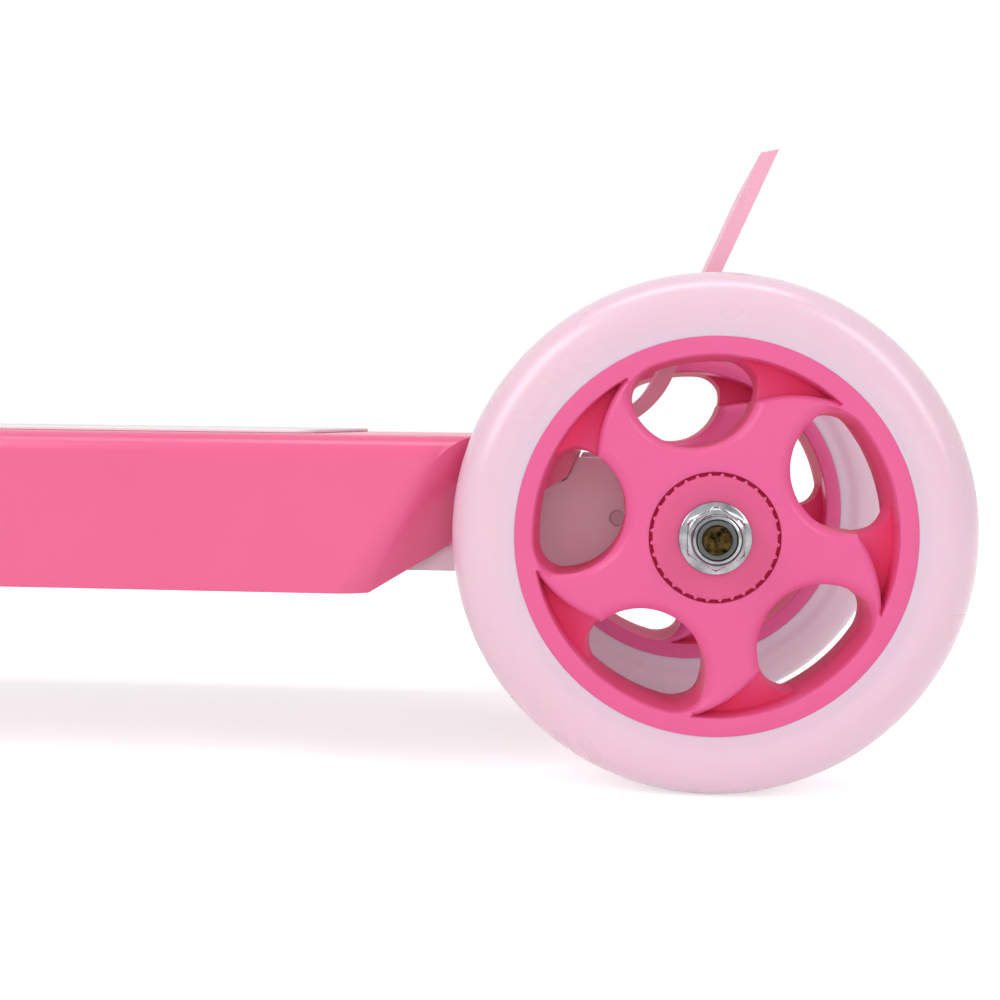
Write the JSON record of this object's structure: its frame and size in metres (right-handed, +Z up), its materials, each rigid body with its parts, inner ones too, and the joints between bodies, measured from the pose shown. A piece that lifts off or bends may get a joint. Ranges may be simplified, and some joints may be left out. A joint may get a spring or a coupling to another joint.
{
  "type": "kick scooter",
  "caption": "Children's lean-to-steer kick scooter: wide moulded deck, swirl-spoke wheels in close rear and wide front pairs, foot brake, folding telescopic T-bar.",
  "frame": {"origin": "on the ground, midway between the two axles and between the wheels of each pair", "axes": "+X to the rear, +Y to the rider's right, +Z up"},
  "size_m": [0.525, 0.2682, 0.6449],
  "materials": {
    "tyre_clear_pink": "smooth glossy pale pink polyurethane",
    "hub_pink": "glossy moulded",
    "bearing_steel": "ground",
    "blush_plastic": "satin moulded",
    "deck_pink": "satin moulded",
    "mat_grey": "fine grained",
    "zinc_steel": "bright zinc plate",
    "zinc_yellow": "yellow zinc plate on the thread",
    "steel_dark": "blackened",
    "nylon_grey": "moulded",
    "bush_clear": "polyurethane",
    "shoe_rubber": "moulded",
    "foot_alloy": "bead blasted",
    "column_pink": "satin moulded",
    "column_white": "gloss paint",
    "tube_alloy": "brushed",
    "lever_dark": "moulded",
    "grip_pink": "soft matt"
  },
  "bodies": {
    "chassis": {"rear_frame": "blush_plastic", "front_head": "blush_plastic", "deck_shell": "deck_pink", "deck_mat": "mat_grey", "deck_screws": "zinc_steel", "head_bolts": "zinc_steel", "rear_axle_bolt": "zinc_yellow", "rear_axle_nut": "zinc_steel", "rear_nut_insert": "nylon_grey", "rear_inner_rings": "bearing_steel", "rear_spacers": "zinc_steel", "brake_pin": "steel_dark", "brake_spring": "zinc_steel", "pivot_bolt": "zinc_steel", "pivot_nut": "zinc_steel", "pivot_plug": "deck_pink", "steering_bushes": "bush_clear", "column_foot": "foot_alloy", "foot_bolts": "zinc_steel", "fold_pin": "zinc_steel"},
    "brake": {"brake_pedal": "deck_pink", "brake_shoes": "shoe_rubber"},
    "steering": {"steering_beam": "blush_plastic", "front_axle_bolts": "zinc_yellow", "front_axle_nuts": "zinc_steel", "front_nut_inserts": "nylon_grey", "front_inner_rings": "bearing_steel", "front_spacers": "zinc_steel"},
    "lower_tube": {"column_knuckle": "column_pink", "lower_column": "column_white", "column_bush": "nylon_grey", "fold_rod": "zinc_steel", "height_clamp": "column_pink", "clamp_rod": "zinc_steel"},
    "fold_catch": {"fold_lever": "lever_dark"},
    "height_catch": {"clamp_lever": "lever_dark"},
    "upper_tube": {"upper_column": "tube_alloy", "upper_bush": "nylon_grey", "handlebar_tee": "column_pink", "handlebar": "tube_alloy", "left_grip": "grip_pink", "right_grip": "grip_pink", "tee_screws": "zinc_steel"},
    "rear_left_wheel": {"rear_left_tyre": "tyre_clear_pink", "rear_left_hub": "hub_pink", "rear_left_caps": "hub_pink", "rear_left_bearings": "bearing_steel"},
    "rear_right_wheel": {"rear_right_tyre": "tyre_clear_pink", "rear_right_hub": "hub_pink", "rear_right_caps": "hub_pink", "rear_right_bearings": "bearing_steel"},
    "front_left_wheel": {"front_left_tyre": "tyre_clear_pink", "front_left_hub": "hub_pink", "front_left_caps": "hub_pink", "front_left_bearings": "bearing_steel"},
    "front_right_wheel": {"front_right_tyre": "tyre_clear_pink", "front_right_hub": "hub_pink", "front_right_caps": "hub_pink", "front_right_bearings": "bearing_steel"}
  },
  "joints": [
    {"name": "rear_left_spin", "type": "hinge", "parent": "chassis", "child": "rear_left_wheel", "pos_m": [0.2, -0.06, 0.0625], "axis": [0, 1, 0], "continuous": true},
    {"name": "rear_right_spin", "type": "hinge", "parent": "chassis", "child": "rear_right_wheel", "pos_m": [0.2, 0.06, 0.0625], "axis": [0, 1, 0], "continuous": true},
    {"name": "front_left_spin", "type": "hinge", "parent": "steering", "child": "front_left_wheel", "pos_m": [-0.2, -0.1, 0.0625], "axis": [0, 1, 0], "continuous": true},
    {"name": "front_right_spin", "type": "hinge", "parent": "steering", "child": "front_right_wheel", "pos_m": [-0.2, 0.1, 0.0625], "axis": [0, 1, 0], "continuous": true},
    {"name": "lean_steer", "type": "hinge", "parent": "chassis", "child": "steering", "pos_m": [-0.2, 0, 0.0625], "axis": [-0.5, 0, 0.866], "range_deg": [-12, 12], "stiffness_Nm_per_rad": 30},
    {"name": "brake_press", "type": "hinge", "parent": "chassis", "child": "brake", "pos_m": [0.1774, 0, 0.0645], "axis": [0, 1, 0], "range_deg": [0, 3.5], "stiffness_Nm_per_rad": 10, "springref_deg": -5.73},
    {"name": "column_fold", "type": "hinge", "parent": "chassis", "child": "lower_tube", "pos_m": [-0.19143, 0, 0.14362], "axis": [0, 1, 0], "range_deg": [0, 71]},
    {"name": "fold_lever_swing", "type": "hinge", "parent": "lower_tube", "child": "fold_catch", "pos_m": [-0.18872, -0.0313, 0.15634], "axis": [0.9781, 0, -0.2079], "range_deg": [0, 150]},
    {"name": "height_slide", "type": "slide", "parent": "lower_tube", "child": "upper_tube", "axis": [0.2079, 0, 0.9781], "range_m": [0, 0.1]},
    {"name": "clamp_lever_swing", "type": "hinge", "parent": "lower_tube", "child": "height_catch", "pos_m": [-0.09792, -0.0173, 0.44885], "axis": [0.2079, 0, 0.9781], "range_deg": [0, 95]}
  ]
}
